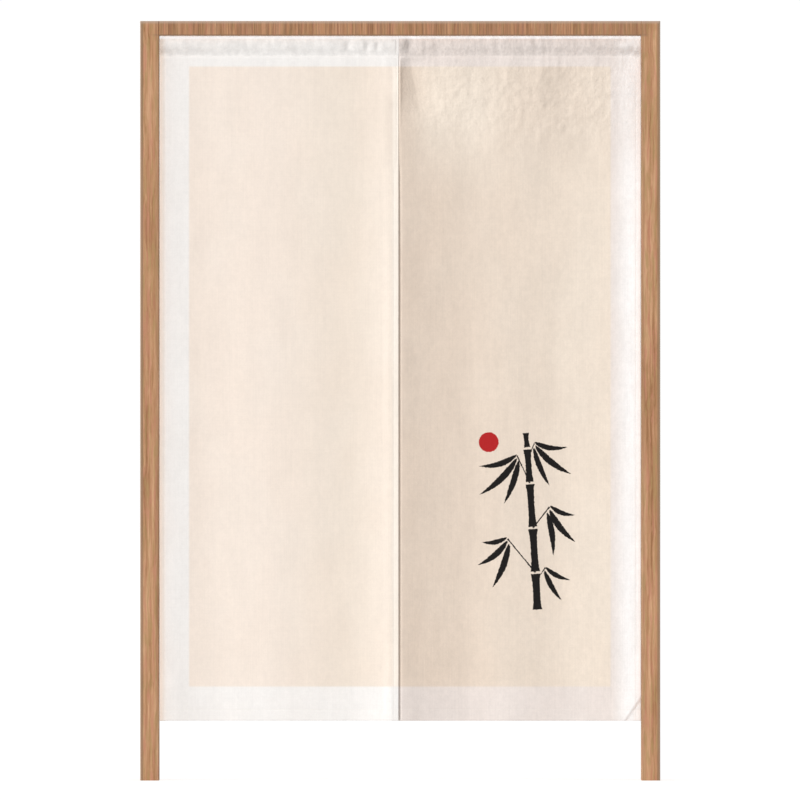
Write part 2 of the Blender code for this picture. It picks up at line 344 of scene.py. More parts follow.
# Yarns and mottling: how much darker and lighter each noise makes the cloth
YARN_UPRIGHT = Noise(620, 9, 3.0, 0.60, 3.0)
YARN_LEVEL = Noise(14, 700, 2.0, 0.55, 7.0)
YARN_LIMITS = (0.25, 0.75)
UPRIGHT_SPREAD = 0.012
LEVEL_SPREAD = 0.008
Mottle = namedtuple("Mottle", "noise darker lighter")
MOTTLES = {
    side: (
        Mottle(Noise(26, 11, 3.0, 0.60, 4.0 * side), 0.016, 0.010),
        Mottle(Noise(110, 80, 2.0, 0.50, 13.0), 0.010, 0.010),
        Mottle(Noise(290, 260, 2.0, 0.60, 19.0), 0.010, 0.010),
    )
    for side in (LEFT, RIGHT)
}
MOTTLE_LIMITS = (0.3, 0.7)
CONTRAST = {LEFT: 1.3, RIGHT: 1.9}
WARM = {LEFT: Noise(9, 6, 2.0, 0.50, 20.0), RIGHT: Noise(9, 6, 2.0, 0.50, 22.0)}
WARM_SHARE = 0.35
WARM_TINT = (1.0, 0.972, 0.955, 1.0)

# Relief of the weave, and of the fine creases at the top of the right panel
WEAVE_PITCH = 0.0011
WEAVE_SHARES = (0.35, 1.1, 0.7)
WEAVE_HEIGHT = 0.00012
CREASED = Noise(190, 170, 3.0, 0.60, 41.0)
CREASED_DROP = (0.110, 0.230)
CREASED_LOW_SHARE = 0.25
CREASED_HEIGHT = 0.0008
CLOTH_ROUGHNESS = (0.2, 0.8, 0.82, 0.95)
CLOTH_SURFACE = {"Sheen Weight": 0.08, "Sheen Roughness": 0.5, "Specular IOR Level": 0.2}

# Sewing thread
THREAD_DARK = (238, 231, 222)
THREAD_LIGHT = (248, 243, 236)
THREAD_TWIST = Noise(900, 900, 2.0, 0.50, 0.0)
THREAD_TWIST_HEIGHT = 0.00005
THREAD_ROUGHNESS = (0.2, 0.8, 0.6, 0.8)

# Ink print on the right panel: a bamboo sprig and a plain disc, in metres on the cloth
Leaf = namedtuple("Leaf", "x z angle length half_width bend")
LEAVES = [Leaf(*row) for row in (
    (0.206, 0.574, 196, 0.072, 0.0076, 0.1),
    (0.206, 0.568, 224, 0.094, 0.0088, 0.07),
    (0.209, 0.564, 251, 0.082, 0.008, 0.04),
    (0.236, 0.596, 352, 0.06, 0.007, -0.1),
    (0.238, 0.59, 322, 0.082, 0.0084, -0.07),
    (0.235, 0.586, 293, 0.074, 0.0074, -0.04),
    (0.264, 0.484, 340, 0.048, 0.0064, -0.1),
    (0.263, 0.477, 309, 0.074, 0.0084, -0.07),
    (0.259, 0.472, 278, 0.078, 0.008, 0.04),
    (0.188, 0.428, 190, 0.046, 0.0064, 0.1),
    (0.189, 0.422, 219, 0.068, 0.008, 0.08),
    (0.192, 0.417, 249, 0.084, 0.0084, 0.05),
    (0.256, 0.376, 333, 0.05, 0.0064, -0.09),
    (0.254, 0.37, 300, 0.062, 0.007, -0.05),
)]
Stroke = namedtuple("Stroke", "x z end_x end_z half_width")
CULM = [Stroke(*row) for row in (
    (0.242, 0.301, 0.2385, 0.364, 0.008),
    (0.2382, 0.368, 0.2338, 0.443, 0.0077),
    (0.2335, 0.447, 0.2285, 0.522, 0.0073),
    (0.2282, 0.526, 0.224, 0.583, 0.0068),
    (0.2237, 0.587, 0.2212, 0.612, 0.0054),
)]
TWIGS = [Stroke(*row) for row in (
    (0.2285, 0.524, 0.206, 0.572, 0.0015),
    (0.2245, 0.564, 0.236, 0.594, 0.0013),
    (0.234, 0.445, 0.263, 0.482, 0.0016),
    (0.2385, 0.366, 0.189, 0.426, 0.0015),
    (0.239, 0.352, 0.256, 0.375, 0.0013),
)]
SUN = (0.1560, 0.5960)
SUN_RADIUS = 0.0175
SUN_RED = (178, 32, 34)
INK = (20, 17, 16)
INK_EDGE = 0.0005
INK_RAGGED = 0.0012
RAGGED_X = Noise(420, 300, 3.0, 0.65, 31.0)
RAGGED_Z = Noise(300, 420, 3.0, 0.65, 37.0)
LEAF_START_POWER = 0.62
LEAF_POINT_POWER = 0.95
LEAF_FULLNESS = 2.05
STROKE_WAIST = 0.82
STROKE_SWELL = 2.4

# Tones of the wood as they show from the front
WOOD_MIDDLE = (184, 137, 98)
WOOD_DARK = (150, 104, 66)
WOOD_LIGHT = (210, 164, 126)
WOOD_PINK = (192, 130, 104)
WOOD_OLIVE = (168, 138, 88)
# Painted shade along the arrises
WOOD_SHADE = (140, 113, 86)
# Grey line along the outer and top arrises
WOOD_GREY = (184, 160, 141)
WOOD_STOPS = ((0.37, WOOD_DARK), (0.50, WOOD_MIDDLE), (0.63, WOOD_LIGHT))

# Grain of the wood: its noises, their shares, and how far the grain wanders sideways
WANDER = Noise(40, 12.0, 3.0, 0.55, 4.0)
WANDER_REACH = 0.0030
BROAD = Noise(70, 2.4, 3.0, 0.55, 5.0)
STREAKS = Noise(260, 7.0, 4.0, 0.65, 9.0)
FIBRES = Noise(1300, 26.0, 2.0, 0.60, 2.0)
HUE = Noise(210, 22.0, 2.0, 0.50, 17.0)
FINE_LINES = Noise(430, 8.0, 3.0, 0.70, 23.0)
BROAD_SHARE = 0.40
STREAK_SHARE = 0.60
STREAK_RELIEF = 0.7
FIBRE_RELIEF = 0.5
GRAIN_HEIGHT = 0.00025

# Spans of the wood's shades: from where to where, and the share at each end
PINK = (0.52, 0.68, 0.0, 0.55)
OLIVE = (0.48, 0.32, 0.0, 0.55)
PORES = (0.60, 0.75, 1.0, 0.86)
ABOVE_OPENING = (OPENING_HEIGHT - 0.004, OPENING_HEIGHT + 0.002)
LINTEL_END = (POST_INNER_X - 0.001, POST_INNER_X + 0.018)
LINTEL_LINES = (0.38, 0.62, 0.78, 1.19)
LINTEL_EVENNESS = 0.30
LINTEL_TINT = (0.84, 0.81, 0.82, 1.0)
# Painted shade along the front and back arrises: beside the outer and inner edges of the posts, and under
# the lintel
EDGE_SHADE_OUTER = (POST_OUTER_X - 0.0064, POST_OUTER_X - 0.0040, 0.0, 0.75)
EDGE_SHADE_INNER = (POST_INNER_X + 0.0030, POST_INNER_X + 0.0078, 0.30, 0.0)
EDGE_SHADE_UNDER = (OPENING_HEIGHT + 0.0014, OPENING_HEIGHT + 0.0032, 0.6, 0.0)
# Grey line along the outer arrises of the posts and the top of the frame, on the front and back
GREY_LINE_SIDE = (POST_OUTER_X - 0.0026, POST_OUTER_X - 0.0008, 0.0, 0.65)
GREY_LINE_TOP = (FRAME_HEIGHT - 0.0066, FRAME_HEIGHT - 0.0010, 0.0, 0.75)
FACING_OUT = (0.3, 0.7)
WOOD_ROUGHNESS = (0.3, 0.7, 0.48, 0.62)
WOOD_SURFACE = {"Specular IOR Level": 0.35}
WOODEN = ("post_left", "post_right", "lintel")

# Studio: strengths of the light on things, and of what the camera sees itself
WORLD_LIGHT = 0.55
WORLD_SEEN = 1.02
FLOOR_GLOW = 0.36
FLOOR_SEEN = 0.62
FLOOR_REACH = 80.0
FLOOR_GREY = (0.8, 0.8, 0.8, 1.0)
FLOOR_SURFACE = {"Roughness": 0.9, "Specular IOR Level": 0.1, "Emission Color": (1.0, 1.0, 1.0, 1.0)}
KEY_LEFT = 52.0
KEY_UP = 28.0
KEY_SPREAD = 22.0
KEY_STRENGTH = 3.0
KEY_DISTANCE = 6.0

# Camera: level with the middle of the picture, far off so that the view has almost no perspective
CAMERA_LENS = 1100.0
CAMERA_SENSOR = 36.0
CAMERA_FAR = 200.0
VIEW_WIDTH = 1.4090
VIEW_CENTRE = (-0.0004, 0.6703)
FRAME_FRONT_Y = -0.060


def eased(share):
    """Soft step: 0 up to share 0, 1 from share 1."""
    share = np.clip(share, 0.0, 1.0)
    return share * share * (3 - 2 * share)


def rising(value, start, end):
    """0 up to start, 1 from end, and eased between them."""
    return eased((value - start) / (end - start))


def shown_between(value, rise, fall):
    """1 between two spans: it eases up over the first one and down over the second."""
    return rising(value, *rise) * (1 - rising(value, *fall))


def soft_bump(distance, half_width):
    return np.exp(-((distance / half_width) ** 2))


def between_levels(fold, drop):
    """How far a fold stands forward at a drop, eased between the stated levels."""
    heights = (fold.heading, fold.seam, fold.slit, fold.middle, fold.hem)
    forward = heights[0]
    for upper, lower, start, end in zip(heights, heights[1:], LEVEL_DROPS, LEVEL_DROPS[1:]):
        forward = forward + (lower - upper) * rising(drop, start, end)
    return forward


def beyond_lap(across):
    """Distance past the strip beside the slit, where both panels lie parallel."""
    return np.where(across < -SIDE_HEM, across + SIDE_HEM, np.maximum(across - LAP_WIDTH, 0.0))


def forward_of_plane(across, drop):
    """How far the hung cloth stands in front of its plane."""
    place = beyond_lap(across)
    lean_share = drop / CURTAIN_DROP
    return sum(
        between_levels(fold, drop) * soft_bump(place - fold.across - fold.lean * lean_share, fold.half_width)
        for fold in FOLDS
    )


def outline_waver(drop, side):
    """Small inward waver of a panel's outer edge."""
    waves = sum(wave.share * np.sin(wave.pace * (drop + side)) for wave in WAVER_WAVES)
    return WAVER * (1 + waves)


def soft_noise(u, v, seed):
    """Smooth unevenness from -1 to 1, the same in each run."""
    lattice = np.random.default_rng(seed).uniform(-1, 1, (NOISE_LATTICE, NOISE_LATTICE))
    column, row = np.floor(u).astype(int), np.floor(v).astype(int)
    right, down = eased(u - column), eased(v - row)
    near, far = column % NOISE_LATTICE, (column + 1) % NOISE_LATTICE
    high, low = row % NOISE_LATTICE, (row + 1) % NOISE_LATTICE
    top = lattice[near, high] * (1 - right) + lattice[far, high] * right
    bottom = lattice[near, low] * (1 - right) + lattice[far, low] * right
    return top * (1 - down) + bottom * down


def uneven(layers, x, drop):
    return sum(
        layer.height * soft_noise(x * layer.across + layer.seed, drop * layer.down + layer.seed, layer.seed)
        for layer in layers
    )


def slit_shift(drop, side):
    """Where the slit edge lies at a drop, from its place in the hanging panel."""
    notched = 1 - rising(drop, CHANNEL_DROP, CHANNEL_DROP + NOTCH_RUN)
    return notched * (-SEAT_GAP / 2 if side == LEFT else LAP_WIDTH + SEAT_GAP / 2)


def tuck(x, drop):
    """How far back the tucked triangle beside the seam lies."""
    share = (drop - TUCK_TOP) / (TUCK_END - TUCK_TOP)
    ridge = TUCK_RIDGE_TOP + (TUCK_RIDGE_END - TUCK_RIDGE_TOP) * share
    into = np.clip((x - TUCK_FROM) / (ridge - TUCK_FROM), 0.0, 1.0) ** TUCK_STEEPNESS
    beyond = 1 - eased((x - ridge) / TUCK_RISE)
    depth = TUCK_DEPTH * (TUCK_TOP_SHARE + TUCK_GROWTH * share)
    return depth * into * beyond * shown_between(share, *TUCK_SHOWN)


def wrinkled(x, drop, side):
    """Upright wrinkles of a panel, forward of its folds."""
    forward = 0.0
    for wrinkle in WRINKLES:
        if wrinkle.x * side < -LAP_WIDTH:
            continue
        middle = (wrinkle.top + wrinkle.end) / 2
        shown = shown_between(drop, (wrinkle.top, wrinkle.top + WRINKLE_RISE), (middle, wrinkle.end))
        place = x - wrinkle.x - wrinkle.lean * (drop - wrinkle.top)
        forward = forward + wrinkle.height * shown * soft_bump(place, wrinkle.half_width)
    return forward


def grooved(x, drop, side):
    """How far the lines of stitches draw the cloth in."""
    from_outer = OUTER_EDGE[side] - side * x - CLOTH / 2 - outline_waver(drop, side)
    from_slit = side * (x - SLIT_EDGE[side] - slit_shift(drop, side)) - CLOTH / 2
    below_seam = rising(drop, SLIT_START, SLIT_START + FREE_RUN)
    grooves = soft_bump(from_outer - SIDE_STITCH, GROOVE_HALF_WIDTH)
    grooves = grooves + below_seam * soft_bump(from_slit - SIDE_STITCH, GROOVE_HALF_WIDTH)
    if side == LEFT:
        sewn = rising(drop, CHANNEL_DROP, CHANNEL_DROP + BELOW_CHANNEL) * (1 - below_seam)
        grooves = grooves + SEAM_GROOVE_SHARE * sewn * soft_bump(from_slit - SEAM_STITCH, GROOVE_HALF_WIDTH)
    grooves = grooves + soft_bump(CURTAIN_DROP - drop - BOTTOM_STITCH, GROOVE_HALF_WIDTH)
    below_channel = soft_bump(drop - CHANNEL_DROP, CHANNEL_GROOVE_HALF_WIDTH)
    return GROOVE_DEPTH * grooves + CHANNEL_GROOVE_DEPTH * below_channel


def creased_right(x, drop):
    """Crinkles at the top of the right panel, its tuck, and its turned corner."""
    crinkles = shown_between(drop, *CRINKLES_DROP) * shown_between(x, *CRINKLES_X)
    past_crease = CORNER_REACH - (OUTER_EDGE[RIGHT] - x) - CORNER_SLANT * (CURTAIN_DROP - drop)
    corner = CORNER_TURN * eased(past_crease / CORNER_REACH)
    corner = corner + CORNER_STEP * eased(past_crease / CORNER_STEP_WIDTH)
    return uneven(RIGHT_CRINKLES, x, drop) * crinkles - tuck(x, drop) - corner


def relief(x, drop, side):
    """Wrinkles, gathers, stitch grooves and creases, forward of the folds."""
    gathers = GATHERS_BELOW[side] * (1 - rising(drop, *GATHERS_DROP))
    forward = uneven(EVERYWHERE, x, drop) + wrinkled(x, drop, side) - grooved(x, drop, side)
    forward = forward + uneven(GATHERS, x, drop) * gathers
    return forward + creased_right(x, drop) if side == RIGHT else forward


def face_y(x, drop, side):
    """Middle of the cloth's front layer."""
    across = x - SLIT_X
    shift = SEWN[side] + (FREE[side] - SEWN[side]) * rising(drop, SLIT_START, SLIT_START + FREE_RUN)
    if side == LEFT:
        near_lap = 1 - eased(np.abs(beyond_lap(across)) / LAP_FADE)
        opened = rising(drop, SLIT_START, SLIT_START + PARTING_RUN)
        shift = shift - PARTING_LEFT * opened
    else:
        near_lap = 1 - rising(across, LAP_RISE_START, LAP_RISE_START + LAP_RISE)
    hung = CURTAIN_Y - forward_of_plane(across, drop) - (SOLID_CLOTH - CLOTH) / 2
    return hung + near_lap * shift - relief(x, drop, side)


def spread(*marks):
    """Places from the first mark to the last. A mark is a place and the step that follows it."""
    places = []
    for (start, step), (end, _) in zip(marks, marks[1:]):
        count = max(1, round((end - start) / step))
        places += [start + (end - start) * index / count for index in range(count)]
    return np.array(places + [marks[-1][0]])


def panel_width(side):
    return abs(SLIT_EDGE[side] - side * OUTER_EDGE[side]) - CLOTH


def panel_columns(side, width):
    """Distance from the outer edge, and distance behind the face, from one free hem edge to the other."""
    flap = SIDE_HEM * np.array(FLAP_SHARES)
    turn = np.linspace(math.pi, 0.0, FOLD_STEPS + 1)
    arc = FOLD_RADIUS * (1 - np.sin(turn))
    behind_arc = FOLD_RADIUS * (1 - np.cos(turn))
    near_slit = [(width - distance, step) for distance, step in SLIT_COLUMN_STEPS]
    body = spread(*OUTER_COLUMN_STEPS, *COLUMN_STEPS[side], *near_slit)[1:-1]
    places = np.concatenate([flap, arc, body, width - arc[::-1], width - flap[::-1]])
    behind_flap = np.full(len(flap), LAYER)
    behind = np.concatenate([behind_flap, behind_arc, np.zeros(len(body)), behind_arc[::-1], behind_flap])
    return places, behind


def place_x(places, drop, side, width):
    outer_x = side * (OUTER_EDGE[side] - CLOTH / 2)
    inset = outline_waver(drop, side) * (1 - places / width)
    pulled = slit_shift(drop, side) * (1 - eased((width - places) / SLIT_PULL_REACH))
    return outer_x - side * (places + inset) + pulled


def hem_share(places, width):
    """1 where a side hem lies under the cloth, 0 elsewhere."""
    from_edge = np.minimum(places, width - places)
    return 1 - rising(from_edge, SIDE_HEM, SIDE_HEM + HEM_EASE)


def channel_dents(x, drop, turn, side):
    """How far the front of the rod channel is pressed in, or less than 0 where it puffs out."""
    dented = sum(dent.depth * soft_bump(x - dent.x, dent.half_width) for dent in DENTS)
    inward = dented * math.sin(turn) ** 2
    for dimple in DIMPLES:
        if dimple.x * side > 0:
            over = soft_bump(x - dimple.x, dimple.half_width)
            over = over * soft_bump(drop - dimple.drop, dimple.half_drop)
            inward = inward + dimple.depth * over * math.sin(turn) ** 0.5
    return inward - uneven(GATHERS, x, drop) * GATHERS_ON_CHANNEL[side] * math.sin(turn)


def channel_row(turn, facing, places, behind, side, width):
    """One row of points round the rod channel, on its front (-1) or back (1)."""
    drop = CLOTH / 2 + (CHANNEL_DROP - CLOTH / 2) * (1 - math.cos(turn)) / 2
    x = place_x(places, drop, side, width)
    out = (CHANNEL_HALF_DEPTH - CLOTH / 2) * math.sin(turn) * math.cos(turn / 2)
    facing_out = min(turn, math.pi / 2)
    y = CURTAIN_Y - forward_of_plane(x - SLIT_X, CHANNEL_DROP)
    y = y + facing * (out - behind * math.sin(facing_out))
    seam_y = face_y(x, CHANNEL_DROP, side)
    if facing < 0:
        y = y + channel_dents(x, drop, turn, side)
        seam_y = seam_y + behind
    else:
        seam_y = seam_y + LAYER * (2 + hem_share(places, width)) - behind
    pinch = rising(turn, math.pi / 2, math.pi)
    y = (1 - pinch) * y + pinch * seam_y
    return points_at(x, y, drop + behind * math.cos(facing_out))


def points_at(x, y, drop):
    """Points of one row. The drop is one number, or one for each point."""
    return np.stack([x, y, np.full(len(x), CURTAIN_TOP) - drop], axis=1)


def sheet_rows(side):
    """All rows of a panel's cloth, from its free edge behind the channel to the one behind the hem."""
    width = panel_width(side)
    places, behind = panel_columns(side, width)
    hem_layers = hem_share(places, width)
    turns = np.linspace(0.0, math.pi, CHANNEL_STEPS + 1)

    tail_drop = CHANNEL_DROP + CHANNEL_TAIL
    x = place_x(places, CHANNEL_DROP, side, width)
    rows = [points_at(x, face_y(x, tail_drop, side) + LAYER * (2 + hem_layers) - behind, tail_drop)]
    rows += [channel_row(turn, 1, places, behind, side, width) for turn in turns[:0:-1]]
    rows += [channel_row(turn, -1, places, behind, side, width) for turn in turns]

    for drop in spread(*ROW_STEPS):
        x = place_x(places, drop, side, width)
        rows.append(points_at(x, face_y(x, drop, side) + behind, drop))

    hem_depth = LAYER * (1 + 2 * hem_layers)
    centre_drop = CURTAIN_DROP - CLOTH / 2 - hem_depth / 2
    radius = hem_depth / 2 - behind
    x = place_x(places, centre_drop, side, width)
    centre_y = face_y(x, centre_drop, side) + hem_depth / 2
    for turn in np.linspace(0.0, math.pi, FOLD_STEPS + 1):
        rows.append(points_at(x, centre_y - radius * math.cos(turn), centre_drop + radius * math.sin(turn)))
    for rise in HEM_ROW_RISES:
        drop = centre_drop - rise
        x = place_x(places, drop, side, width)
        rows.append(points_at(x, face_y(x, drop, side) + hem_depth - behind, drop))
    return np.array(rows)


def add_object(name, mesh, material):
    mesh.materials.append(material)
    piece = bpy.data.objects.new(name, mesh)
    bpy.context.scene.collection.objects.link(piece)
    return piece


def cloth_panel(name, side, material):
    """One panel as a single cloth: rod channel, hanging cloth and hems."""
    points = sheet_rows(side)
    row_count, column_count = points.shape[:2]
    index = np.arange(row_count * column_count).reshape(row_count, column_count)
    corners = [index[:-1, :-1], index[:-1, 1:], index[1:, 1:], index[1:, :-1]]
    if side == LEFT:
        corners.reverse()
    faces = np.stack(corners, axis=-1).reshape(-1, 4)
    flat = bpy.data.meshes.new(name + "_flat")
    flat.from_pydata(points.reshape(-1, 3).tolist(), [], faces.tolist())
    piece = add_object(name, flat, material)
    thickness = piece.modifiers.new("thickness", "SOLIDIFY")
    thickness.thickness = CLOTH
    thickness.offset = 0.0
    thickness.use_even_offset = True
    evaluated = piece.evaluated_get(bpy.context.evaluated_depsgraph_get())
    piece.data = bpy.data.meshes.new_from_object(evaluated)
    piece.modifiers.clear()
    piece.data.name = name
    piece.data.shade_smooth()
    piece.data.set_sharp_from_angle(angle=math.radians(SHARP_ANGLE))
    return piece


def thread_rows(side):
    """Each row of stitching on a panel: its points on the cloth, and the way that they face."""
    width = panel_width(side)
    step = STITCH_PITCH / 4
    seam_top = CHANNEL_DROP + BELOW_CHANNEL
    hem_top = CURTAIN_DROP - BOTTOM_HEM - STITCH_MARGIN
    rows = []

    def both_faces(place, drop, layers):
        x = place_x(place, drop, side, width)
        y = face_y(x, drop, side)
        rows.append((points_at(x, y - CLOTH / 2, drop), -1))
        rows.append((points_at(x, y + LAYER * layers + CLOTH / 2, drop), 1))

    def upright(place, start, end):
        drop = np.arange(start, end, step)
        both_faces(np.full(len(drop), place), drop, 1)

    def level(drop, layers, hem_layers):
        place = np.arange(STITCH_MARGIN, width - STITCH_MARGIN, step)
        both_faces(place, np.full(len(place), drop), layers + hem_layers * hem_share(place, width))

    upright(SIDE_STITCH, seam_top, hem_top)
    upright(width - SIDE_STITCH, SLIT_START + BELOW_SLIT_START, hem_top)
    if side == LEFT:
        upright(width - SEAM_STITCH, seam_top, SLIT_START)
    level(CHANNEL_DROP, 2, 0)
    level(CURTAIN_DROP - BOTTOM_STITCH, 1, 2)
    return rows


def stitching(name, side, material):
    """All the stitches of a panel, each a short raised thread with sunk ends."""
    points, faces = [], []
    for path, facing in thread_rows(side):
        steps = np.concatenate([[0.0], np.cumsum(np.linalg.norm(np.diff(path, axis=0), axis=1))])
        out = np.array([0.0, facing, 0.0])
        for start in np.arange(STITCH_PITCH / 4, steps[-1] - STITCH_LENGTH, STITCH_PITCH):
            along = [start + STITCH_LENGTH * share for share, _ in THREAD_STATIONS]
            line = np.stack([np.interp(along, steps, path[:, axis]) for axis in range(3)], axis=1)
            across = np.cross(line[-1] - line[0], out)
            across *= THREAD_HALF_WIDTH / np.linalg.norm(across)
            first = len(points)
            for place, (_, height) in zip(line, THREAD_STATIONS):
                base = place - out * THREAD_SUNK
                points += [base - across, place + out * height, base + across]
            last = first + 3 * (len(THREAD_STATIONS) - 1)
            for low in range(first, last, 3):
                for corner in range(3):
                    follow = (corner + 1) % 3
                    faces.append((low + corner, low + follow, low + 3 + follow, low + 3 + corner))
            faces.append((first + 2, first + 1, first))
            faces.append((last, last + 1, last + 2))
    mesh = bpy.data.meshes.new(name)
    mesh.from_pydata([tuple(point) for point in points], [], faces)
    mesh.shade_smooth()
    return add_object(name, mesh, material)


# Materials


def linear(level):
    """Linear value of one 0 to 255 display colour level."""
    value = level / 255
    return value / 12.92 if value <= 0.04045 else ((value + 0.055) / 1.055) ** 2.4


def tone(red, green, blue):
    """Surface colour that shows as this display colour under the studio light."""
    return tuple(min(linear(level) / STUDIO_LIGHT, 1.0) for level in (red, green, blue)) + (1.0,)


class Graph:
    """Node material in the making. A value is a number, a tuple or another node's output."""

    def __init__(self, name):
        self.material = bpy.data.materials.new(name)
        self.material.use_nodes = True
        self.tree = self.material.node_tree
        self.shader = self.tree.nodes["Principled BSDF"]
        coordinates = self.tree.nodes.new("ShaderNodeTexCoord")
        self.position = coordinates.outputs["Object"]
        self.x, _, self.z = self.split(self.position)
        self.facing_y = self.split(coordinates.outputs["Normal"])[1]

    def add(self, kind, values, **settings):
        node = self.tree.nodes.new(kind)
        for name, value in settings.items():
            setattr(node, name, value)
        for key, value in values.items():
            if isinstance(value, bpy.types.NodeSocket):
                self.tree.links.new(value, node.inputs[key])
            else:
                node.inputs[key].default_value = value
        return node

    def split(self, vector):
        return self.add("ShaderNodeSeparateXYZ", {0: vector}).outputs[:]

    def joined(self, x, y, z):
        return self.add("ShaderNodeCombineXYZ", {0: x, 1: y, 2: z}).outputs[0]

    def math(self, operation, first, second=0.0):
        return self.add("ShaderNodeMath", {0: first, 1: second}, operation=operation).outputs[0]

    def chained(self, operation, values):
        result = values[0]
        for value in values[1:]:
            result = self.math(operation, result, value)
        return result

    def product(self, *values):
        return self.chained("MULTIPLY", values)

    def total(self, *values):
        return self.chained("ADD", values)

    def greatest(self, *values):
        return self.chained("MAXIMUM", values)

    def less(self, first, second):
        return self.math("SUBTRACT", first, second)

    def distance(self, first, second=0.0):
        return self.math("ABSOLUTE", self.less(first, second))

    def ranged(self, value, low, high, start=0.0, end=1.0):
        """Value eased from start at low to end at high."""
        node = self.add(
            "ShaderNodeMapRange",
            {"Value": value, "From Min": low, "From Max": high, "To Min": start, "To Max": end},
            interpolation_type="SMOOTHSTEP",
        )
        return node.outputs[0]

    def by_drop(self, lower, upper, start=0.0, end=1.0):
        """Value eased from start at the lower drop to end at the upper one."""
        return self.ranged(self.z, CURTAIN_TOP - lower, CURTAIN_TOP - upper, start, end)

    def mixed(self, share, first, second, blend="MIX"):
        node = self.add("ShaderNodeMix", {0: share, 6: first, 7: second}, data_type="RGBA", blend_type=blend)
        return node.outputs[2]

    def ramp(self, value, stops):
        """Colour by a value. A stop is a place and a tone."""
        node = self.add("ShaderNodeValToRGB", {0: value})
        elements = node.color_ramp.elements
        while len(elements) < len(stops):
            elements.new(0.5)
        for element, (place, colour) in zip(elements, stops):
            element.position = place
            element.color = tone(*colour)
        return node.outputs[0]

    def noise(self, noise):
        """Noise from 0 to 1."""
        scaled = self.add(
            "ShaderNodeVectorMath",
            {0: self.position, 1: (noise.across, noise.across, noise.upright), 2: (noise.start,) * 3},
            operation="MULTIPLY_ADD",
        ).outputs[0]
        values = {"Vector": scaled, "Scale": 1.0, "Detail": noise.detail, "Roughness": noise.roughness}
        return self.add("ShaderNodeTexNoise", values).outputs[0]

    def tinted(self, colour, tint):
        return self.mixed(1.0, colour, tint, blend="MULTIPLY")

    def scaled(self, colour, factor):
        """Colour times a grey factor."""
        return self.tinted(colour, self.joined(factor, factor, factor))

    def patched(self, patches):
        """Brightness share of a field with soft round patches."""
        shades = []
        for patch in patches:
            across = self.math("DIVIDE", self.less(self.x, patch.x), patch.half_width)
            down = self.math("DIVIDE", self.less(self.z, CURTAIN_TOP - patch.drop), patch.half_drop)
            squared = self.total(self.product(across, across), self.product(down, down))
            over = self.ranged(squared, 0.0, PATCH_REACH, 1.0, 0.0)
            shades.append(self.ranged(over, 0.0, 1.0, 1.0, patch.share))
        return self.product(*shades)

    def bump(self, height, distance, **values):
        return self.add("ShaderNodeBump", {"Height": height, "Distance": distance, **values}).outputs[0]

    def finish(self, colour, roughness, normal, surface):
        """The material, with the values that are the same all over it on the shader's own sockets."""
        self.tree.links.new(colour, self.shader.inputs["Base Color"])
        self.tree.links.new(roughness, self.shader.inputs["Roughness"])
        self.tree.links.new(normal, self.shader.inputs["Normal"])
        set_values(self.shader, surface)
        return self.material


def set_values(node, values):
    for name, value in values.items():
        node.inputs[name].default_value = value


def in_field(graph):
    """1 inside the printed field, 0 on the plain border round it."""
    return graph.product(
        graph.ranged(graph.x, FIELD_LEFT - FIELD_EDGE, FIELD_LEFT + FIELD_EDGE),
        graph.ranged(graph.x, FIELD_RIGHT - FIELD_EDGE, FIELD_RIGHT + FIELD_EDGE, 1.0, 0.0),
        graph.ranged(graph.z, FIELD_BOTTOM - FIELD_EDGE, FIELD_BOTTOM + FIELD_EDGE),
        graph.ranged(graph.z, FIELD_TOP - FIELD_EDGE, FIELD_TOP + FIELD_EDGE, 1.0, 0.0),
    )


def left_tones(graph):
    """Cream and off-white of the left panel: duller in the middle, and pale in a strip at the seam, a
    painted highlight.
    """
    dull = graph.ranged(graph.distance(graph.x, DULL_LEFT_X), 0.0, DULL_LEFT_REACH, 1.0, 0.0)
    cream = graph.mixed(dull, tone(*CREAM_LEFT), tone(*CREAM_LEFT_DULL))
    # Painted highlight in a strip beside the seam
    cream = graph.mixed(graph.ranged(graph.x, *SEAM_HIGHLIGHT_X), cream, tone(*CREAM_SEAM_HIGHLIGHT))
    edge = -OUTER_EDGE[LEFT]
    creamy = graph.ranged(graph.x, edge, edge + CREAMY_WIDTH, CREAMY_SHARE, 0.0)
    white = graph.mixed(creamy, tone(*WHITE_LEFT), tone(*WHITE_LEFT_EDGE))
    return graph.scaled(cream, graph.patched(FIELD_PATCHES_LEFT)), white


def right_tones(graph):
    """Cream and off-white of the right panel, darkened by painted shade: deep beside the slit, paler
    outwards and at the top, and the off-white whiter at the outer edge.
    """
    near_top = graph.by_drop(TOP_SHADE_DROP[1], TOP_SHADE_DROP[0])
    deep, pale = tone(*CREAM_RIGHT_DEEP), tone(*CREAM_RIGHT_PALE)
    low = graph.mixed(graph.ranged(graph.x, *PALER_X), deep, pale)
    high = graph.mixed(graph.ranged(graph.x, *PALER_TOP_X), deep, pale)
    dull = graph.ranged(graph.distance(graph.x, DULL_TOP_X), 0.0, DULL_TOP_REACH, DULL_TOP_SHARE, 0.0)
    cream = graph.mixed(near_top, low, graph.mixed(dull, high, deep))
    whiter = graph.ranged(graph.x, *WHITER_X)
    whiter = graph.product(whiter, graph.ranged(near_top, 0.0, 1.0, 1.0, WHITER_TOP_SHARE))
    white = graph.mixed(whiter, tone(*WHITE_RIGHT), tone(*WHITE_RIGHT_EDGE))
    cream = graph.scaled(cream, graph.patched(FIELD_PATCHES_RIGHT))
    # Painted shade and shadows on the right border
    return cream, graph.scaled(white, graph.patched(BORDER_SHADE_PATCHES_RIGHT))


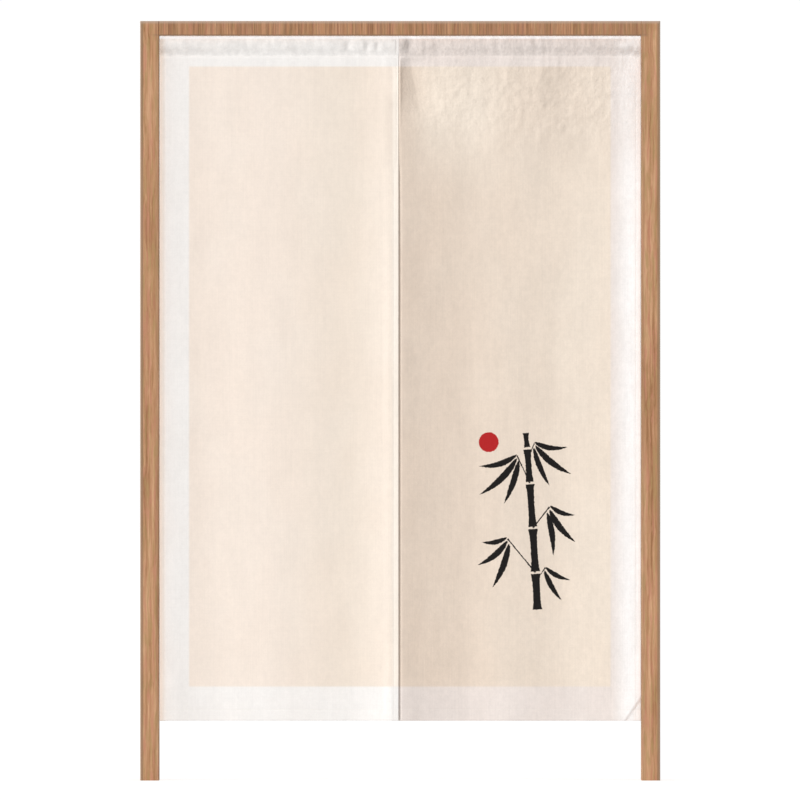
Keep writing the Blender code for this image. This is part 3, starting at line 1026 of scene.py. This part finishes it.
def with_channel(graph, white, side):
    """Off-white with painted shade and light on the rod channel: crumples of shade, darker above and lighter
    below, a painted highlight on its top rim, and painted shade above its seam.
    """
    in_channel = graph.product(
        graph.by_drop(CHANNEL_DROP + CHANNEL_EDGE, CHANNEL_DROP - CHANNEL_EDGE),
        graph.by_drop(RIM_HIGHLIGHT_DROP[1], RIM_HIGHLIGHT_DROP[0], 1.0, 0.0),
        graph.ranged(graph.x, *PUFF_X, 1.0, 0.0),
    )
    # Painted shade of the channel: by drop, and in crumples
    levels = graph.by_drop(*CHANNEL_SHADE_DROP, *CHANNEL_SHADES[side])
    marks = graph.noise(CHANNEL_CRUMPLE_SHADE[side])
    crumple_shaded = graph.ranged(marks, *NOISE_MIDDLE, CHANNEL_DARKEST[side], CHANNEL_LIGHTEST)
    white = graph.mixed(in_channel, white, graph.scaled(white, graph.product(levels, crumple_shaded)))
    # Painted highlight along the channel's top rim
    white = graph.mixed(graph.by_drop(RIM_HIGHLIGHT_DROP[1], RIM_HIGHLIGHT_DROP[0]), white, tone(*RIM_HIGHLIGHT))
    above_seam = graph.product(
        graph.by_drop(SEAM_SHADE_DROP[1], CHANNEL_DROP),
        graph.by_drop(SEAM_SHADE_DROP[0] + SEAM_SHADE_EASE, SEAM_SHADE_DROP[0], 1.0, 0.0),
    )
    return graph.scaled(white, graph.ranged(above_seam, 0.0, 1.0, 1.0, SEAM_SHADE[side]))


def yarn_shade(graph, upright, level, side):
    """Brightness share of the uneven yarns and the soft mottling."""
    spread_up = UPRIGHT_SPREAD * CONTRAST[side]
    yarns = graph.total(
        graph.ranged(upright, *YARN_LIMITS, 1 - spread_up, 1 + spread_up),
        graph.ranged(level, *YARN_LIMITS, -LEVEL_SPREAD, LEVEL_SPREAD),
    )
    mottles = []
    for mottle in MOTTLES[side]:
        darkest = 1 - mottle.darker * CONTRAST[side]
        lightest = 1 + mottle.lighter * CONTRAST[side]
        mottles.append(graph.ranged(graph.noise(mottle.noise), *MOTTLE_LIMITS, darkest, lightest))
    return graph.product(yarns, *mottles)


def weave_relief(graph, upright, level, side):
    """Plain weave with its slubs, and fine creases on the right panel."""
    turns = 2 * math.pi / WEAVE_PITCH
    warp = graph.math("SINE", graph.product(graph.x, turns))
    weft = graph.math("SINE", graph.product(graph.z, turns))
    heights = zip((graph.product(warp, weft), upright, level), WEAVE_SHARES)
    normal = graph.bump(graph.total(*[graph.product(*height) for height in heights]), WEAVE_HEIGHT)
    if side == LEFT:
        return normal
    shown = graph.by_drop(CREASED_DROP[1], CREASED_DROP[0], CREASED_LOW_SHARE, 1.0)
    return graph.bump(graph.product(graph.noise(CREASED), shown), CREASED_HEIGHT, Normal=normal)


def cloth_material(name, side):
    """Linen with an off-white border round a cream field."""
    graph = Graph(name)
    in_front = graph.ranged(graph.facing_y, *FRONT_FACING, 1.0, 0.0)
    field, white = left_tones(graph) if side == LEFT else right_tones(graph)
    field_share = graph.product(in_field(graph), graph.ranged(in_front, 0.0, 1.0, FIELD_BEHIND, 1.0))
    colour = graph.mixed(field_share, with_channel(graph, white, side), field)
    colour = graph.mixed(graph.product(graph.less(1.0, in_front), BACK_SHARE), colour, tone(*BACK_WHITE))
    upright, level = graph.noise(YARN_UPRIGHT), graph.noise(YARN_LEVEL)
    colour = graph.scaled(colour, yarn_shade(graph, upright, level, side))
    warm = graph.ranged(graph.noise(WARM[side]), *NOISE_MIDDLE, 0.0, WARM_SHARE)
    colour = graph.mixed(warm, colour, graph.tinted(colour, WARM_TINT))
    if side == RIGHT:
        colour = printed(graph, colour, in_front)
    normal = weave_relief(graph, upright, level, side)
    return graph.finish(colour, graph.ranged(upright, *CLOTH_ROUGHNESS), normal, CLOTH_SURFACE)


def mark_place(graph, x, z, mark, angle, length):
    """Share of the way along a brush mark, and distance to its side."""
    from_x, from_z = graph.less(x, mark.x), graph.less(z, mark.z)
    cosine, sine = math.cos(angle), math.sin(angle)
    along = graph.total(graph.product(from_x, cosine), graph.product(from_z, sine))
    beside = graph.less(graph.product(from_z, cosine), graph.product(from_x, sine))
    return graph.math("DIVIDE", along, length), beside


def leaf_mark(graph, x, z, leaf):
    """Ink of one leaf: blunt where it starts, and drawn out to a point."""
    along, beside = mark_place(graph, x, z, leaf, math.radians(leaf.angle), leaf.length)
    along = graph.greatest(graph.math("MINIMUM", along, 1.0), 0.0)
    rest = graph.less(1.0, along)
    curve = graph.product(along, rest, 4 * leaf.bend * leaf.length)
    start = graph.math("POWER", along, LEAF_START_POWER)
    point = graph.math("POWER", rest, LEAF_POINT_POWER)
    half_width = graph.product(start, point, LEAF_FULLNESS * leaf.half_width)
    return graph.ranged(graph.less(half_width, graph.distance(beside, curve)), 0.0, INK_EDGE)


def stroke_mark(graph, x, z, stroke):
    """Ink of one straight stroke, a little thicker at its ends."""
    run_x, run_z = stroke.end_x - stroke.x, stroke.end_z - stroke.z
    length = math.hypot(run_x, run_z)
    along, beside = mark_place(graph, x, z, stroke, math.atan2(run_z, run_x), length)
    from_middle = graph.distance(along, 0.5)
    swell = graph.total(STROKE_WAIST, graph.product(graph.math("POWER", from_middle, 3.0), STROKE_SWELL))
    inside = graph.less(graph.product(swell, stroke.half_width), graph.distance(beside))
    ends = graph.ranged(from_middle, 0.5 - INK_EDGE / length, 0.5 + INK_EDGE / length, 1.0, 0.0)
    return graph.product(graph.ranged(inside, 0.0, INK_EDGE), ends)


def printed(graph, colour, in_front):
    """Colour with the ink print over it. A little of it shows through on the back."""
    x = graph.total(graph.x, graph.ranged(graph.noise(RAGGED_X), 0.0, 1.0, -INK_RAGGED, INK_RAGGED))
    z = graph.total(graph.z, graph.ranged(graph.noise(RAGGED_Z), 0.0, 1.0, -INK_RAGGED, INK_RAGGED))
    marks = [stroke_mark(graph, x, z, stroke) for stroke in CULM + TWIGS]
    marks += [leaf_mark(graph, x, z, leaf) for leaf in LEAVES]
    ink = graph.greatest(*marks)
    from_x, from_z = graph.less(x, SUN[0]), graph.less(z, SUN[1])
    from_sun = graph.math("SQRT", graph.total(graph.product(from_x, from_x), graph.product(from_z, from_z)))
    disc = graph.ranged(from_sun, SUN_RADIUS - INK_EDGE, SUN_RADIUS + INK_EDGE, 1.0, 0.0)
    shows = graph.ranged(in_front, 0.0, 1.0, INK_BEHIND, 1.0)
    colour = graph.mixed(graph.product(disc, shows), colour, tone(*SUN_RED))
    return graph.mixed(graph.product(ink, shows), colour, tone(*INK))


def thread_material():
    graph = Graph("sewing_thread")
    twist = graph.noise(THREAD_TWIST)
    colour = graph.mixed(twist, tone(*THREAD_DARK), tone(*THREAD_LIGHT))
    normal = graph.bump(twist, THREAD_TWIST_HEIGHT)
    return graph.finish(colour, graph.ranged(twist, *THREAD_ROUGHNESS), normal, {})


def wandering(graph, *noises):
    """Noises that wander a little sideways as they run up the wood."""
    straight = graph.position
    sideways = graph.ranged(graph.noise(WANDER), 0.0, 1.0, -WANDER_REACH, WANDER_REACH)
    moved = {0: straight, 1: graph.joined(sideways, sideways, 0.0)}
    graph.position = graph.add("ShaderNodeVectorMath", moved, operation="ADD").outputs[0]
    values = [graph.noise(noise) for noise in noises]
    graph.position = straight
    return values


def shaded_and_grey_edges(graph, colour, far_x, on_lintel):
    """Painted shade along the arrises of the front and the back, beside the outer and inner edges and under
    the lintel, and a grey line along the outer and top arrises.
    """
    on_front = graph.ranged(graph.distance(graph.facing_y), *FACING_OUT)
    outer = graph.ranged(far_x, *EDGE_SHADE_OUTER)
    below_lintel = graph.ranged(graph.z, *ABOVE_OPENING, 1.0, 0.0)
    inner = graph.product(graph.ranged(far_x, *EDGE_SHADE_INNER), below_lintel)
    under = graph.product(graph.ranged(graph.z, *EDGE_SHADE_UNDER), on_lintel)
    # Painted shade along the arrises of the front and the back
    edge_shade = graph.product(graph.greatest(outer, inner, under), on_front)
    colour = graph.mixed(edge_shade, colour, tone(*WOOD_SHADE))
    grey_line = graph.greatest(graph.ranged(far_x, *GREY_LINE_SIDE), graph.ranged(graph.z, *GREY_LINE_TOP))
    return graph.mixed(graph.product(grey_line, on_front), colour, tone(*WOOD_GREY))


def wood_material():
    """Upright grain on the posts and the lintel, as the frame shows it."""
    graph = Graph("door_frame_wood")
    broad, streaks, fibres, hue = wandering(graph, BROAD, STREAKS, FIBRES, HUE)
    grain = graph.total(graph.product(broad, BROAD_SHARE), graph.product(streaks, STREAK_SHARE))
    colour = graph.ramp(grain, WOOD_STOPS)
    colour = graph.mixed(graph.ranged(hue, *PINK), colour, tone(*WOOD_PINK))
    colour = graph.mixed(graph.ranged(hue, *OLIVE), colour, tone(*WOOD_OLIVE))
    far_x = graph.distance(graph.x)
    between_posts = graph.ranged(far_x, *LINTEL_END, 1.0, 0.0)
    on_lintel = graph.product(graph.ranged(graph.z, *ABOVE_OPENING), between_posts)
    even = graph.mixed(LINTEL_EVENNESS, colour, tone(*WOOD_MIDDLE))
    lined = graph.scaled(even, graph.ranged(graph.noise(FINE_LINES), *LINTEL_LINES))
    colour = graph.mixed(on_lintel, colour, graph.tinted(lined, LINTEL_TINT))
    colour = graph.scaled(colour, graph.ranged(fibres, *PORES))
    colour = shaded_and_grey_edges(graph, colour, far_x, on_lintel)
    height = graph.total(graph.product(streaks, STREAK_RELIEF), graph.product(fibres, FIBRE_RELIEF))
    normal = graph.bump(height, GRAIN_HEIGHT)
    return graph.finish(colour, graph.ranged(streaks, *WOOD_ROUGHNESS), normal, WOOD_SURFACE)


# Studio


def by_camera_ray(tree, unseen, seen):
    """One strength for the light on things, and another for what the camera sees itself."""
    path = tree.nodes.new("ShaderNodeLightPath")
    strength = tree.nodes.new("ShaderNodeMapRange")
    set_values(strength, {"To Min": unseen, "To Max": seen})
    tree.links.new(path.outputs["Is Camera Ray"], strength.inputs["Value"])
    return strength.outputs[0]


def floor():
    mesh = bpy.data.meshes.new("studio_floor")
    corners = [(FLOOR_REACH * x, FLOOR_REACH * y, 0.0) for x, y in ((-1, -1), (1, -1), (1, 1), (-1, 1))]
    mesh.from_pydata(corners, [], [(0, 1, 2, 3)])
    material = bpy.data.materials.new("studio_floor")
    material.use_nodes = True
    tree = material.node_tree
    shader = tree.nodes["Principled BSDF"]
    set_values(shader, {"Base Color": FLOOR_GREY, **FLOOR_SURFACE})
    tree.links.new(by_camera_ray(tree, FLOOR_GLOW, FLOOR_SEEN), shader.inputs["Emission Strength"])
    add_object("studio_floor", mesh, material)


def key_light():
    """Large soft light far off, to the left of the camera and above the horizon."""
    light = bpy.data.lights.new("key", "SUN")
    light.angle = math.radians(KEY_SPREAD)
    light.energy = KEY_STRENGTH
    lamp = bpy.data.objects.new("key", light)
    bpy.context.scene.collection.objects.link(lamp)
    left, up = math.radians(KEY_LEFT), math.radians(KEY_UP)
    towards = Vector((-math.sin(left) * math.cos(up), -math.cos(left) * math.cos(up), math.sin(up)))
    lamp.location = KEY_DISTANCE * towards
    lamp.rotation_euler = towards.to_track_quat("Z", "Y").to_euler()
    return lamp


def studio(casters):
    """White world, a pale floor and a soft key light that reaches the object alone."""
    world = bpy.data.worlds.new("studio")
    bpy.context.scene.world = world
    world.use_nodes = True
    tree = world.node_tree
    background = tree.nodes["Background"]
    background.inputs[0].default_value = (1.0, 1.0, 1.0, 1.0)
    tree.links.new(by_camera_ray(tree, WORLD_LIGHT, WORLD_SEEN), background.inputs[1])
    floor()
    key = key_light()
    blockers = bpy.data.collections.new("key_blockers")
    receivers = bpy.data.collections.new("key_receivers")
    for piece in casters:
        blockers.objects.link(piece)
    for piece in casters + [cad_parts[node] for node in WOODEN]:
        receivers.objects.link(piece)
    key.light_linking.blocker_collection = blockers
    key.light_linking.receiver_collection = receivers


def camera():
    data = bpy.data.cameras.new("camera")
    data.lens = CAMERA_LENS
    data.sensor_width = CAMERA_SENSOR
    data.clip_end = CAMERA_FAR
    eye = bpy.data.objects.new("camera", data)
    bpy.context.scene.collection.objects.link(eye)
    distance = VIEW_WIDTH * CAMERA_LENS / CAMERA_SENSOR
    eye.location = (VIEW_CENTRE[0], FRAME_FRONT_Y - distance, VIEW_CENTRE[1])
    eye.rotation_euler = (math.pi / 2, 0.0, 0.0)
    bpy.context.scene.camera = eye


def main():
    bpy.context.scene.view_settings.view_transform = "Standard"
    thread = thread_material()
    wood = wood_material()
    for node in WOODEN:
        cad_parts[node].data.materials.clear()
        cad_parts[node].data.materials.append(wood)
    pieces = []
    for word, side in (("left", LEFT), ("right", RIGHT)):
        cloth = cloth_panel("cloth_" + word, side, cloth_material("linen_" + word, side))
        stitches = stitching("stitches_" + word, side, thread)
        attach(cloth, "root")
        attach(stitches, "root")
        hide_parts("panel_" + word, "heading_" + word)
        pieces += [cloth, stitches]
    studio(pieces)
    camera()


main()
